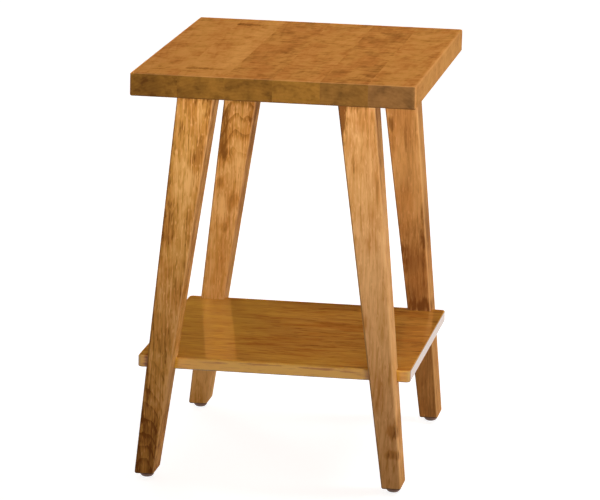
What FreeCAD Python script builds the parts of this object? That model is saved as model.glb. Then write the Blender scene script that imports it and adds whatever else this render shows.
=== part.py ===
import FreeCAD, Part
import math
import os
import Sketcher

# End table with a shelf, in millimetres: a thick edge-glued top, four legs that lean outwards and taper,
# a thin shelf let into the inner faces of the legs, and a nailed glide under each foot.
# +Z is up, the front faces -Y, and the origin is on the floor below the middle of the top.

SIZES = {
    # The top and its boards, which run front to back.
    "table_height": 635.0,
    "top_width": 430.0,
    "top_depth": 588.0,
    "top_thickness": 35.0,
    "top_board_count": 6,
    "top_corner_radius": 4.0,
    "top_edge_radius": 2.5,
    # The legs: the insets run in from the edge of the top, to the front face of the leg, and sideways to
    # the outer face of its upper end and of its foot.
    "leg_front_inset": 36.5,
    "leg_top_inset": 65.5,
    "leg_top_width": 57.0,
    "leg_foot_inset": 9.5,
    "leg_foot_width": 30.0,
    "leg_depth": 56.0,
    "leg_edge_radius": 3.5,
    "foot_edge_radius": 3.0,
    # The shelf, whose boards run left to right, and its housings in the legs.
    "shelf_height": 187.0,
    "shelf_end_inset": 5.0,
    "shelf_thickness": 18.0,
    "shelf_board_count": 4,
    "shelf_corner_radius": 7.0,
    "shelf_edge_radius": 2.0,
    "housing_depth": 20.0,
    "housing_end_gap": 0.5,
    "housing_fit": 0.1,
    # The dowels: two between each leg and the top, one between each leg and the shelf.
    "top_dowel_diameter": 10.0,
    "top_dowel_spacing": 28.0,
    "top_dowel_in_top": 20.0,
    "top_dowel_in_leg": 32.0,
    "shelf_dowel_diameter": 8.0,
    "shelf_dowel_in_leg": 22.0,
    "shelf_dowel_in_shelf": 22.0,
    "dowel_chamfer": 1.0,
    "dowel_fit": 0.1,
    # The space left at the blind end of every dowel hole and nail hole.
    "hole_end_gap": 0.8,
    # The glides: a moulded pad around the head of a nail.
    "glide_diameter": 22.0,
    "glide_height": 10.0,
    "glide_round": 6.5,
    "nail_diameter": 2.6,
    "nail_length": 16.0,
    "nail_point": 4.0,
    "nail_head_diameter": 7.0,
    "nail_head_thickness": 1.2,
    "nail_head_cover": 1.8,
    "nail_fit": 0.05,
}

LEFT = -1
RIGHT = 1
FRONT = -1
BACK = 1
SIDE_NAMES = {LEFT: "left", RIGHT: "right"}
ROW_NAMES = {FRONT: "front", BACK: "back"}
CORNERS = [(row, side) for row in (FRONT, BACK) for side in (LEFT, RIGHT)]

TOUCH = 1e-4      # two faces nearer than this lie in one plane
LEAST_CUT = 1.0   # a cut that takes away less than this, in cubic millimetres, has missed

doc = FreeCAD.newDocument("end_table")
sheet = doc.addObject("Spreadsheet::Sheet", "sizes")
for line, (alias, value) in enumerate(SIZES.items(), start=1):
    sheet.set(f"A{line}", alias)
    sheet.set(f"B{line}", str(value))
    sheet.setAlias(f"B{line}", alias)
doc.recompute()

# Places that several pieces share, as expressions in the sheet's names. The leg's row is how far its
# middle stands in front of or behind the middle of the table, and its ends are so far left or right.
LEG_ROW = "(sizes.top_depth / 2 - sizes.leg_front_inset - sizes.leg_depth / 2)"
LEG_TOP_MIDDLE = "(sizes.top_width / 2 - sizes.leg_top_inset - sizes.leg_top_width / 2)"
LEG_FOOT_MIDDLE = "(sizes.top_width / 2 - sizes.leg_foot_inset - sizes.leg_foot_width / 2)"
LEG_TOP = "(sizes.table_height - sizes.top_thickness)"
SHELF_WIDTH = "(sizes.top_width - 2 * sizes.shelf_end_inset)"
SHELF_BOTTOM = "(sizes.shelf_height - sizes.shelf_thickness)"
SHELF_MIDDLE = "(sizes.shelf_height - sizes.shelf_thickness / 2)"
HOUSING_FLOOR = "(sizes.leg_depth / 2 - sizes.housing_depth)"
SHELF_HALF_DEPTH = f"({LEG_ROW} - {HOUSING_FLOOR} - sizes.housing_end_gap)"
SHELF_BOARD = f"(2 * {SHELF_HALF_DEPTH} / sizes.shelf_board_count)"
TOP_BOARD = "(sizes.top_width / sizes.top_board_count)"
LEG_LEAN = f"(({LEG_FOOT_MIDDLE} - {LEG_TOP_MIDDLE}) / ({LEG_TOP} - sizes.glide_height))"
LEG_AT_SHELF = f"({LEG_TOP_MIDDLE} + {LEG_LEAN} * ({LEG_TOP} - {SHELF_MIDDLE}))"
NAIL_HEAD_TOP = "(sizes.nail_head_cover + sizes.nail_head_thickness)"

nodes = []


def new_body(label):
    """A body that becomes one piece of the table."""
    body = doc.addObject("PartDesign::Body", label)
    body.Label = label
    nodes.append(body)
    return body


def place(body, x="0", y="0", z="0", axis=(0, 0, 1), angle=0.0):
    """Turn a finished body and bind its place to the sheet."""
    body.Placement = FreeCAD.Placement(
        FreeCAD.Vector(0, 0, 0), FreeCAD.Rotation(FreeCAD.Vector(*axis), angle)
    )
    for letter, expression in zip("xyz", (x, y, z)):
        body.setExpression(f"Placement.Base.{letter}", expression)


def new_sketch(body, role, name, lift="0"):
    """A sketch on one of the body's own planes, lifted along the plane's normal."""
    plane = next(item for item in body.Origin.OriginFeatures if item.Role == role)
    sketch = body.newObject("Sketcher::SketchObject", f"{body.Name}_{name}")
    sketch.AttachmentSupport = [(plane, "")]
    sketch.MapMode = "FlatFace"
    sketch.setExpression("AttachmentOffset.Base.z", lift)
    return sketch


def pin_point(sketch, geometry, point, across, along):
    """Hold a point at two bound distances from the sketch's origin."""
    for kind, expression in (("DistanceX", across), ("DistanceY", along)):
        number = sketch.addConstraint(Sketcher.Constraint(kind, -1, 1, geometry, point, 1.0))
        sketch.setExpression(f"Constraints[{number}]", expression)


def draw_outline(sketch, corners):
    """A closed outline of straight lines through corners given as pairs of expressions."""
    count = len(corners)
    # The first guess is a regular polygon, and the constraints then pull each corner to its place.
    guess = [
        FreeCAD.Vector(math.cos(2 * math.pi * i / count), math.sin(2 * math.pi * i / count), 0)
        for i in range(count)
    ]
    for i in range(count):
        sketch.addGeometry(Part.LineSegment(guess[i], guess[(i + 1) % count]), False)
    for i in range(count):
        sketch.addConstraint(Sketcher.Constraint("Coincident", i, 2, (i + 1) % count, 1))
    for i, (across, along) in enumerate(corners):
        pin_point(sketch, i, 1, across, along)


def draw_circle(sketch, across, along, radius):
    """A circle with a bound centre and radius."""
    circle = Part.Circle(FreeCAD.Vector(1, 1, 0), FreeCAD.Vector(0, 0, 1), 1.0)
    geometry = sketch.addGeometry(circle, False)
    number = sketch.addConstraint(Sketcher.Constraint("Radius", geometry, 1.0))
    sketch.setExpression(f"Constraints[{number}]", radius)
    pin_point(sketch, geometry, 3, across, along)


def pad(body, sketch, length, symmetric=False):
    """Raise a sketch into a solid."""
    feature = body.newObject("PartDesign::Pad", f"{body.Name}_pad")
    feature.Profile = sketch
    feature.SideType = "Symmetric" if symmetric else "One side"
    feature.setExpression("Length", length)
    doc.recompute()
    return feature


def pocket(body, sketch, name, depth=None, along_normal=False):
    """Cut a sketch into the body to a depth, or right through both ways."""
    feature = body.newObject("PartDesign::Pocket", f"{body.Name}_{name}")
    feature.Profile = sketch
    feature.Reversed = along_normal
    if depth is None:
        feature.Type = "ThroughAll"
        feature.SideType = "Symmetric"
    else:
        feature.setExpression("Length", depth)
    doc.recompute()
    return feature


def revolve(body, sketch):
    """Turn a half section about the upright axis."""
    feature = body.newObject("PartDesign::Revolution", f"{body.Name}_turned")
    feature.Profile = sketch
    feature.ReferenceAxis = (sketch, ["V_Axis"])
    feature.Angle = 360.0
    doc.recompute()
    return feature


def dress_edges(body, kind, base, name, chosen, size):
    """Round or chamfer the edges of a feature that the test chooses."""
    names = [f"Edge{i}" for i, edge in enumerate(base.Shape.Edges, start=1) if chosen(edge)]
    feature = body.newObject(f"PartDesign::{kind}", f"{body.Name}_{name}")
    feature.Base = (base, names)
    feature.setExpression("Radius" if kind == "Fillet" else "Size", size)
    doc.recompute()
    return feature


def is_upright(edge):
    """True for an edge that runs straight up."""
    box = edge.BoundBox
    return box.ZLength > TOUCH and box.XLength < TOUCH and box.YLength < TOUCH


def is_level(edge):
    """True for an edge at one height."""
    return edge.BoundBox.ZLength < TOUCH


def glued_board(label, length, width, thickness, seams, corner_radius, edge_radius, run):
    """One board of a glued-up panel, with its free edges eased and its seams left square.

    The board lies in the positive corner of its own frame. The seams name the sides, low or high, on
    which it meets a neighbour, and run says which way the grain goes, X or Y.
    """
    body = new_body(label)
    size_x, size_y = (length, width) if run == "X" else (width, length)
    outline = new_sketch(body, "XY_Plane", "outline")
    draw_outline(outline, [("0", "0"), (size_x, "0"), (size_x, size_y), ("0", size_y)])
    board = pad(body, outline, thickness)

    box = board.Shape.BoundBox
    ends = {"low": 0.0, "high": box.YLength if run == "X" else box.XLength}
    planes = [ends[seam] for seam in seams]

    def is_free(edge):
        """True for an edge that no seam holds."""
        low = edge.BoundBox.YMin if run == "X" else edge.BoundBox.XMin
        high = edge.BoundBox.YMax if run == "X" else edge.BoundBox.XMax
        return not any(abs(low - plane) < TOUCH and abs(high - plane) < TOUCH for plane in planes)

    if len(seams) < 2:
        board = dress_edges(
            body, "Fillet", board, "corners", lambda edge: is_free(edge) and is_upright(edge), corner_radius
        )
    dress_edges(
        body, "Fillet", board, "eased", lambda edge: is_free(edge) and is_level(edge), edge_radius
    )
    return body


def seams_of(board, count):
    """The sides on which a board of a panel meets a neighbour."""
    seams = []
    if board > 0:
        seams.append("low")
    if board < count - 1:
        seams.append("high")
    return seams


def build_top():
    """The boards of the top, side by side from left to right, with the dowel holes in their undersides."""
    count = int(sheet.top_board_count)
    board_width = sheet.top_width / count
    for board in range(count):
        body = glued_board(
            f"top_board_{board + 1}",
            "sizes.top_depth",
            TOP_BOARD,
            "sizes.top_thickness",
            seams_of(board, count),
            "sizes.top_corner_radius",
            "sizes.top_edge_radius",
            "Y",
        )
        left = f"({board} * {TOP_BOARD} - sizes.top_width / 2)"
        low = board * board_width - sheet.top_width / 2
        hole_radius = sheet.top_dowel_diameter / 2 + sheet.dowel_fit
        for side in (LEFT, RIGHT):
            middle = side * (sheet.top_width / 2 - sheet.leg_top_inset - sheet.leg_top_width / 2)
            if middle + hole_radius <= low or middle - hole_radius >= low + board_width:
                continue
            holes = new_sketch(body, "XY_Plane", f"{SIDE_NAMES[side]}_dowel_holes")
            for row in (FRONT, BACK):
                for place_in_pair in (FRONT, BACK):
                    draw_circle(
                        holes,
                        f"{side} * {LEG_TOP_MIDDLE} - {left}",
                        f"sizes.top_depth / 2 + {row} * {LEG_ROW}"
                        f" + {place_in_pair} * sizes.top_dowel_spacing / 2",
                        "sizes.top_dowel_diameter / 2 + sizes.dowel_fit",
                    )
            pocket(
                body,
                holes,
                f"{SIDE_NAMES[side]}_bored",
                "sizes.top_dowel_in_top + sizes.hole_end_gap",
                along_normal=True,
            )
        place(body, left, "-sizes.top_depth / 2", LEG_TOP)


def build_shelf():
    """The boards of the shelf from front to back, with a dowel hole for each leg in the outer edges."""
    count = int(sheet.shelf_board_count)
    for board in range(count):
        body = glued_board(
            f"shelf_board_{board + 1}",
            SHELF_WIDTH,
            SHELF_BOARD,
            "sizes.shelf_thickness",
            seams_of(board, count),
            "sizes.shelf_corner_radius",
            "sizes.shelf_edge_radius",
            "X",
        )
        for row, is_outer in ((FRONT, board == 0), (BACK, board == count - 1)):
            if not is_outer:
                continue
            lift = "0" if row == FRONT else f"-{SHELF_BOARD}"
            holes = new_sketch(body, "XZ_Plane", f"{ROW_NAMES[row]}_dowel_holes", lift)
            for side in (LEFT, RIGHT):
                draw_circle(
                    holes,
                    f"{SHELF_WIDTH} / 2 + {side} * {LEG_AT_SHELF}",
                    "sizes.shelf_thickness / 2",
                    "sizes.shelf_dowel_diameter / 2 + sizes.dowel_fit",
                )
            pocket(
                body,
                holes,
                f"{ROW_NAMES[row]}_bored",
                "sizes.shelf_dowel_in_shelf + sizes.hole_end_gap",
                along_normal=row == BACK,
            )
        place(
            body,
            f"-{SHELF_WIDTH} / 2",
            f"{board} * {SHELF_BOARD} - {SHELF_HALF_DEPTH}",
            SHELF_BOTTOM,
        )


def build_leg(row, side):
    """A leg: level at both ends, leaning outwards, tapered on two faces and housed for the shelf.

    It is modelled as a front leg with its inner face towards +Y. A back leg is the front leg of the
    other side turned half round.
    """
    body = new_body(f"{ROW_NAMES[row]}_{SIDE_NAMES[side]}_leg")
    lean = side if row == FRONT else -side

    profile = new_sketch(body, "XZ_Plane", "profile")
    corners = []
    for end, width, height, edges in (
        (LEG_TOP_MIDDLE, "sizes.leg_top_width", LEG_TOP, (LEFT, RIGHT)),
        (LEG_FOOT_MIDDLE, "sizes.leg_foot_width", "sizes.glide_height", (RIGHT, LEFT)),
    ):
        for edge in edges:
            corners.append((f"{lean} * {end} + {edge} * {width} / 2", height))
    draw_outline(profile, corners)
    blank = pad(body, profile, "sizes.leg_depth", symmetric=True)

    top = blank.Shape.BoundBox.ZMax
    bottom = blank.Shape.BoundBox.ZMin
    eased = dress_edges(
        body,
        "Fillet",
        blank,
        "eased",
        lambda edge: edge.BoundBox.ZLength > (top - bottom) / 2,
        "sizes.leg_edge_radius",
    )
    dress_edges(
        body,
        "Fillet",
        eased,
        "foot_eased",
        lambda edge: edge.BoundBox.ZMax < bottom + TOUCH,
        "sizes.foot_edge_radius",
    )

    housing = new_sketch(body, "YZ_Plane", "housing")
    housing_top = "sizes.shelf_height + sizes.housing_fit"
    draw_outline(
        housing,
        [
            (HOUSING_FLOOR, SHELF_BOTTOM),
            ("sizes.leg_depth", SHELF_BOTTOM),
            ("sizes.leg_depth", housing_top),
            (HOUSING_FLOOR, housing_top),
        ],
    )
    pocket(body, housing, "housed")

    top_holes = new_sketch(body, "XY_Plane", "top_dowel_holes", LEG_TOP)
    for place_in_pair in (FRONT, BACK):
        draw_circle(
            top_holes,
            f"{lean} * {LEG_TOP_MIDDLE}",
            f"{place_in_pair} * sizes.top_dowel_spacing / 2",
            "sizes.top_dowel_diameter / 2 + sizes.dowel_fit",
        )
    pocket(body, top_holes, "top_bored", "sizes.top_dowel_in_leg + sizes.hole_end_gap")

    shelf_hole = new_sketch(body, "XZ_Plane", "shelf_dowel_hole", f"-{HOUSING_FLOOR}")
    draw_circle(
        shelf_hole,
        f"{lean} * {LEG_AT_SHELF}",
        SHELF_MIDDLE,
        "sizes.shelf_dowel_diameter / 2 + sizes.dowel_fit",
    )
    pocket(
        body,
        shelf_hole,
        "shelf_bored",
        "sizes.shelf_dowel_in_leg + sizes.hole_end_gap",
        along_normal=True,
    )

    nail_hole = new_sketch(body, "XY_Plane", "nail_hole", "sizes.glide_height")
    draw_circle(nail_hole, f"{lean} * {LEG_FOOT_MIDDLE}", "0", "sizes.nail_diameter / 2 + sizes.nail_fit")
    pocket(body, nail_hole, "nail_bored", "sizes.nail_length + sizes.hole_end_gap", along_normal=True)

    place(body, y=f"{row} * {LEG_ROW}", angle=0.0 if row == FRONT else 180.0)


def build_dowel(label, diameter, length):
    """A round dowel pin with chamfered ends, standing on its own origin."""
    body = new_body(label)
    section = new_sketch(body, "XY_Plane", "section")
    draw_circle(section, "0", "0", f"{diameter} / 2")
    pin = pad(body, section, length)
    dress_edges(body, "Chamfer", pin, "chamfered", is_level, "sizes.dowel_chamfer")
    return body


def build_leg_dowels(row, side):
    """The two pins that stand up from a leg into the top."""
    for number, place_in_pair in enumerate((FRONT, BACK), start=1):
        body = build_dowel(
            f"{ROW_NAMES[row]}_{SIDE_NAMES[side]}_leg_dowel_{number}",
            "sizes.top_dowel_diameter",
            "sizes.top_dowel_in_leg + sizes.top_dowel_in_top",
        )
        place(
            body,
            f"{side} * {LEG_TOP_MIDDLE}",
            f"{row} * {LEG_ROW} + {place_in_pair} * sizes.top_dowel_spacing / 2",
            f"{LEG_TOP} - sizes.top_dowel_in_leg",
        )


def build_shelf_dowel(row, side):
    """The pin that runs level from a leg into the edge of the shelf."""
    body = build_dowel(
        f"{ROW_NAMES[row]}_{SIDE_NAMES[side]}_shelf_dowel",
        "sizes.shelf_dowel_diameter",
        "sizes.shelf_dowel_in_leg + sizes.housing_end_gap + sizes.shelf_dowel_in_shelf",
    )
    place(
        body,
        f"{side} * {LEG_AT_SHELF}",
        f"{row} * ({LEG_ROW} - {HOUSING_FLOOR} + sizes.shelf_dowel_in_leg)",
        SHELF_MIDDLE,
        axis=(1, 0, 0),
        angle=row * 90.0,
    )


def build_glide(row, side):
    """A moulded pad with a domed rim, and the nail whose head it holds."""
    corner = f"{ROW_NAMES[row]}_{SIDE_NAMES[side]}"
    at_foot = (f"{side} * {LEG_FOOT_MIDDLE}", f"{row} * {LEG_ROW}")
    hole = "sizes.nail_diameter / 2 + sizes.nail_fit"
    seat = "sizes.nail_head_diameter / 2 + sizes.nail_fit"
    seat_top = f"{NAIL_HEAD_TOP} + sizes.nail_fit"
    seat_floor = "sizes.nail_head_cover - sizes.nail_fit"

    moulded = new_body(f"{corner}_glide")
    half_section = new_sketch(moulded, "XZ_Plane", "half_section")
    draw_outline(
        half_section,
        [
            ("0", "0"),
            ("sizes.glide_diameter / 2", "0"),
            ("sizes.glide_diameter / 2", "sizes.glide_height"),
            (hole, "sizes.glide_height"),
            (hole, seat_top),
            (seat, seat_top),
            (seat, seat_floor),
            ("0", seat_floor),
        ],
    )
    turned = revolve(moulded, half_section)
    rim = sheet.glide_diameter
    dress_edges(
        moulded,
        "Fillet",
        turned,
        "domed",
        lambda edge: abs(edge.BoundBox.XLength - rim) < TOUCH and edge.BoundBox.ZMax < TOUCH,
        "sizes.glide_round",
    )
    place(moulded, *at_foot)

    nail = new_body(f"{corner}_glide_nail")
    half_section = new_sketch(nail, "XZ_Plane", "half_section")
    nail_tip = "sizes.glide_height + sizes.nail_length"
    draw_outline(
        half_section,
        [
            ("0", "sizes.nail_head_cover"),
            ("sizes.nail_head_diameter / 2", "sizes.nail_head_cover"),
            ("sizes.nail_head_diameter / 2", NAIL_HEAD_TOP),
            ("sizes.nail_diameter / 2", NAIL_HEAD_TOP),
            ("sizes.nail_diameter / 2", f"{nail_tip} - sizes.nail_point"),
            ("0", nail_tip),
        ],
    )
    revolve(nail, half_section)
    place(nail, *at_foot)


def check_model():
    """Stop if a feature failed, a shape is broken, or a cut took nothing away."""
    for item in doc.Objects:
        if "Invalid" in item.State or "Error" in item.State:
            raise RuntimeError(f"{item.Name} did not build: {item.State}")
        if item.TypeId == "PartDesign::Pocket":
            taken = item.BaseFeature.Shape.Volume - item.Shape.Volume
            if taken < LEAST_CUT:
                raise RuntimeError(f"{item.Name} cuts nothing")
    for body in nodes:
        if body.Shape.isNull() or not body.Shape.isValid():
            raise RuntimeError(f"{body.Label} has no valid shape")
        if len(body.Shape.Solids) != 1:
            raise RuntimeError(f"{body.Label} is {len(body.Shape.Solids)} solids")


def write_parts():
    """Write each piece to its own file and print its box."""
    os.makedirs("parts", exist_ok=True)
    for body in nodes:
        body.Shape.exportStep(os.path.join("parts", f"{body.Label}.step"))
        box = body.Shape.BoundBox
        print(
            f"{body.Label}: x {box.XMin:.1f} to {box.XMax:.1f}, y {box.YMin:.1f} to {box.YMax:.1f},"
            f" z {box.ZMin:.1f} to {box.ZMax:.1f}"
        )


build_top()
build_shelf()
for corner_row, corner_side in CORNERS:
    build_leg(corner_row, corner_side)
    build_leg_dowels(corner_row, corner_side)
    build_shelf_dowel(corner_row, corner_side)
    build_glide(corner_row, corner_side)
doc.recompute()
check_model()
write_parts()
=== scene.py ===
"""Looks of the end table with shelf: stained maple, moulded glides, a plain studio and the camera.

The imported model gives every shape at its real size. Each class of a sub-assembly dresses the pieces of
that part of the table, and each finish works from real sizes in millimetres.
"""

import logging
import math
from dataclasses import dataclass, field, replace
from enum import Enum

import bpy
from mathutils import Euler, Matrix, Vector


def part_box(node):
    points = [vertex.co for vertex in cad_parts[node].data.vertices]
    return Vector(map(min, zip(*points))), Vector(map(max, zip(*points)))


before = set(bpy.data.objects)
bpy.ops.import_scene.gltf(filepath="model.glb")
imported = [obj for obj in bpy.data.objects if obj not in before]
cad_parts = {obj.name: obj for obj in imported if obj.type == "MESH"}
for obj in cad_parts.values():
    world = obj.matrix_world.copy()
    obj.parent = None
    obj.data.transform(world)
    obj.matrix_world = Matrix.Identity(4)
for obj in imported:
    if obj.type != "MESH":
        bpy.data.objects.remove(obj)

LOG = logging.getLogger("end_table")
MM = 0.001

Colour = tuple[float, float, float, float]
Pair = tuple[float, float]
Triple = tuple[float, float, float]
Material = bpy.types.Material
Socket = bpy.types.NodeSocket
Tree = bpy.types.NodeTree

# Sockets of the Mix node when it mixes colours: share of the second one, both colours, and the result.
SHARE, FIRST, SECOND, MIXED = 0, 6, 7, 2


def linear(code: str) -> Colour:
    """Turn an sRGB hex colour into linear light.

    Args:
        code: The colour as six hex digits after a hash sign.

    Returns:
        Red, green, blue and an alpha of one.
    """
    parts = [int(code[i:i + 2], 16) / 255 for i in (1, 3, 5)]
    light = [c / 12.92 if c <= 0.04045 else ((c + 0.055) / 1.055) ** 2.4 for c in parts]
    return light[0], light[1], light[2], 1.0


def metres(sizes: Triple) -> Triple:
    """Give three millimetre sizes in metres."""
    return sizes[0] * MM, sizes[1] * MM, sizes[2] * MM


def radians(turn: Triple) -> Triple:
    """Turn three angles from degrees to radians."""
    return math.radians(turn[0]), math.radians(turn[1]), math.radians(turn[2])


def middle_of(node_name: str) -> Triple:
    """Give the middle of a node's box, in metres."""
    low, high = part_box(node_name)
    return tuple((low + high) / 2)


def add_node(tree: Tree, kind: str, inputs: dict[int | str, object] | None = None,
             **settings: object) -> bpy.types.Node:
    """Add one node with its settings, its constant inputs and its links.

    Args:
        tree: The tree that the node goes into.
        kind: Blender's name of the node type.
        inputs: Input names or numbers, each with a value or with the socket to link it to.
        settings: Properties of the node itself.

    Returns:
        The new node.
    """
    node = tree.nodes.new(kind)
    for name, value in settings.items():
        setattr(node, name, value)
    for key, value in (inputs or {}).items():
        if isinstance(value, Socket):
            tree.links.new(value, node.inputs[key])
        else:
            node.inputs[key].default_value = value
    return node


def new_material(name: str) -> Material:
    """Make an empty node material.

    Args:
        name: Name of the finish.

    Returns:
        The material, with no nodes in its tree.
    """
    material = bpy.data.materials.new(name)
    material.use_nodes = True
    material.node_tree.nodes.clear()
    return material


def paint(node_name: str, material: Material) -> None:
    """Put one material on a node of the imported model.

    Args:
        node_name: Name of the node.
        material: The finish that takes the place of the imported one.
    """
    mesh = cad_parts[node_name].data
    mesh.materials.clear()
    mesh.materials.append(material)
    LOG.info("%s: %s", node_name, material.name)


def add_surface(tree: Tree, colour: Socket, pattern: Socket, roughness: Pair, relief: Pair,
                plain: dict[str, float], sunk: bool = True) -> None:
    """Close a material with a shader whose roughness and relief follow its pattern.

    Args:
        tree: The material's tree.
        colour: Colour of the surface.
        pattern: The pattern, from 0 to 1.
        roughness: Roughness where the pattern is 0 and where it is 1.
        relief: Height of the pattern in millimetres, and the share of it that shows.
        plain: Inputs of the shader that are the same all over.
        sunk: Whether the pattern lies below the surface.
    """
    rough = add_node(tree, "ShaderNodeMapRange", {
        "Value": pattern, "To Min": roughness[0], "To Max": roughness[1],
    })
    bump = add_node(tree, "ShaderNodeBump", {
        "Height": pattern, "Distance": relief[0] * MM, "Strength": relief[1],
    }, invert=sunk)
    shader = add_node(tree, "ShaderNodeBsdfPrincipled", {
        "Base Color": colour, "Roughness": rough.outputs[0], "Normal": bump.outputs[0], **plain,
    })
    add_node(tree, "ShaderNodeOutputMaterial", {"Surface": shader.outputs[0]})


class Grain(Enum):
    """Way that the fibres run, as the turn in degrees that lays an upright log along them."""

    UPRIGHT = (0.0, 0.0, 0.0)
    FRONT_TO_BACK = (-90.0, 0.0, 0.0)
    LEFT_TO_RIGHT = (0.0, 90.0, 0.0)


class Lacquer(Enum):
    """Clear coat: weight of the film and its roughness."""

    SATIN = (0.06, 0.28)
    SEMI_GLOSS = (0.95, 0.03)


class Corner(Enum):
    """Corner of the table, with the side (+1 right) and the row (+1 back) that it is on."""

    FRONT_LEFT = (-1, -1)
    FRONT_RIGHT = (1, -1)
    BACK_LEFT = (-1, 1)
    BACK_RIGHT = (1, 1)

    @property
    def label(self) -> str:
        """Return the first words of the names of this corner's pieces."""
        return self.name.lower()


@dataclass(frozen=True)
class Pattern:
    """One kind of mark that repeats all over the wood.

    Attributes:
        cell: Size of one mark across, through and along the grain, in millimetres.
        detail: Number of finer layers in the noise.
        low: Noise level at which the mark begins to show.
        high: Noise level at which it shows in full.
        gain: How much it darkens the wood, or pales it if negative.
        share: Share of the wood that it covers, which keeps the average tone.
    """

    cell: Triple
    detail: float
    low: float
    high: float
    gain: float = 1.0
    share: float = 0.5

    def draw(self, tree: Tree, place: Socket) -> Socket:
        """Lay the marks over a piece.

        Args:
            tree: The material's tree.
            place: Place in the log, in metres, with Z along the grain.

        Returns:
            How much of a mark shows at each point, from 0 to 1.
        """
        cells = add_node(tree, "ShaderNodeMapping", {"Vector": place, "Scale": metres(self.cell)},
                         vector_type="TEXTURE")
        noise = add_node(tree, "ShaderNodeTexNoise", {
            "Vector": cells.outputs[0], "Scale": 1.0, "Detail": self.detail, "Roughness": 0.58,
        })
        return add_node(tree, "ShaderNodeMapRange", {
            "Value": noise.outputs["Fac"], "From Min": self.low, "From Max": self.high,
        }, interpolation_type="SMOOTHSTEP").outputs[0]


# The ragged edge of single marks, and how far it cuts into them at most, in half sizes of the mark.
RAGGED_EDGE = Pattern(cell=(5, 5, 24), detail=3, low=0.25, high=0.75)
RAGGED_REACH = 0.7
# Distances from a mark's middle, in half sizes, where it has faded out and where it shows in full.
MARK_FADE = (1.5, 0.7)
# Slow drift of the plain wood to red.
RED_DRIFT = Pattern(cell=(38, 38, 110), detail=2, low=0.4, high=0.62)


@dataclass(frozen=True)
class Mark:
    """One streak of heartwood, mineral or curl, or a patch of painted shade or light, at a known place.

    Attributes:
        place: Middle of the mark in the table's frame, in millimetres.
        size: Its half sizes across, through and along the grain, in millimetres.
        gain: How much it darkens the wood, or pales it if negative.
    """

    place: Triple
    size: Triple
    gain: float

    def draw(self, tree: Tree, place: Socket, rotation: Triple, ragged: Socket) -> Socket:
        """Lay the mark on a piece.

        Args:
            tree: The material's tree.
            place: Place in the table's frame, in metres.
            rotation: Turn in radians from an upright log to the piece.
            ragged: How far the edge is drawn in at each point, from 0 to 1.

        Returns:
            How much of the mark shows at each point, from 0 to 1.
        """
        near = add_node(tree, "ShaderNodeMapping", {
            "Vector": place, "Location": metres(self.place), "Rotation": rotation,
            "Scale": metres(self.size),
        }, vector_type="TEXTURE")
        far = add_node(tree, "ShaderNodeVectorMath", {0: near.outputs[0]}, operation="LENGTH")
        reach = add_node(tree, "ShaderNodeMath", {
            0: ragged, 1: RAGGED_REACH, 2: far.outputs["Value"],
        }, operation="MULTIPLY_ADD")
        return add_node(tree, "ShaderNodeMapRange", {
            "Value": reach.outputs[0], "From Min": MARK_FADE[0], "From Max": MARK_FADE[1],
        }, interpolation_type="SMOOTHSTEP").outputs[0]


@dataclass(frozen=True)
class Cut:
    """How a piece was cut from the log, and how it took the stain.

    Attributes:
        pith: Place of the log's heart from the middle of the piece, in millimetres.
        tilt: Angles in degrees between heart and piece, which draw the cathedral arches.
        tone: How much darker the stain took than on the average piece.
        marks: Single streaks that the piece shows, and patches of painted shade and painted light.
        rings: How much the late wood of the rings darkens, at the high end and at the low end of the grain.
        span: Where along the grain the rings go from the low strength to the high one, in millimetres from
            the middle.
        streaks: How strong the patterns all over the wood are on this piece.
    """

    pith: Pair
    tilt: Pair
    tone: float
    marks: tuple[Mark, ...] = ()
    rings: Pair = (0.12, 0.12)
    span: Pair = (-250.0, 250.0)
    streaks: float = 1.0


# Steps through the log from one piece to the next, in metres, so wide that no two have the same figure.
LOG_STEP = (1.31, 0.77, 2.13)


@dataclass(frozen=True)
class Blank:
    """One piece of timber, at its place in the table and in the log.

    Attributes:
        middle: Middle of the piece in the table's frame, in metres.
        turn: Turn in degrees from an upright log to the piece.
        number: Steps through the log to this piece.
        cut: How it was cut.
    """

    middle: Triple
    turn: Triple
    number: float
    cut: Cut

    @property
    def log_place(self) -> Triple:
        """Return the place of the piece's middle in the log, in metres."""
        return LOG_STEP[0] * self.number, LOG_STEP[1] * self.number, LOG_STEP[2] * self.number


@dataclass(frozen=True)
class EdgeLightAndShade:
    """Painted highlight or painted shade on the eased edges that face one way.

    Attributes:
        rubs: Whether it paints a highlight there, and not shade.
        axis: Axis of the table's frame that the way an edge faces is measured against.
        begin: Cosine between the two where the effect begins.
        full: Cosine where it is full.
        share: How much of the edge's colour it then takes over.
    """

    rubs: bool
    axis: Triple
    begin: float
    full: float
    share: float


# Painted highlight on the eased edges that do not face left; painted shade on those that face front left
# and on those that face down.
EDGE_LIGHT_AND_SHADE = (
    EdgeLightAndShade(True, (1.0, 0.0, 0.0), begin=-0.3, full=0.0, share=0.5),
    EdgeLightAndShade(False, (0.8, 0.6, 0.0), begin=-0.62, full=-0.86, share=0.4),
    EdgeLightAndShade(False, (0.0, 0.0, 1.0), begin=-0.2, full=-0.5, share=0.8),
)

# Tone of the average wood, on a scale from 0, palest, to 1, darkest, and the tone of the plain colour.
AVERAGE_TONE = 0.45
PLAIN_TONE = 0.5
# Part of a ring's width over which late wood sets in, and the share of the wood that it covers.
LATE_WOOD = (0.55, 0.98)
LATE_SHARE = 0.25
# How much slower the rings change along the log than across it.
LOG_STRETCH = 4.0
# Distance between the rings of the wave node at a scale of one.
WAVE_PERIOD = 2 * math.pi / 20
# Largest part of the surface direction where an eased edge begins, and where it is in full.
EASED = (0.985, 0.85)
# Squared cosine between surface and fibres where end grain begins, and where it is in full.
END_GRAIN = (0.55, 0.85)


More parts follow.
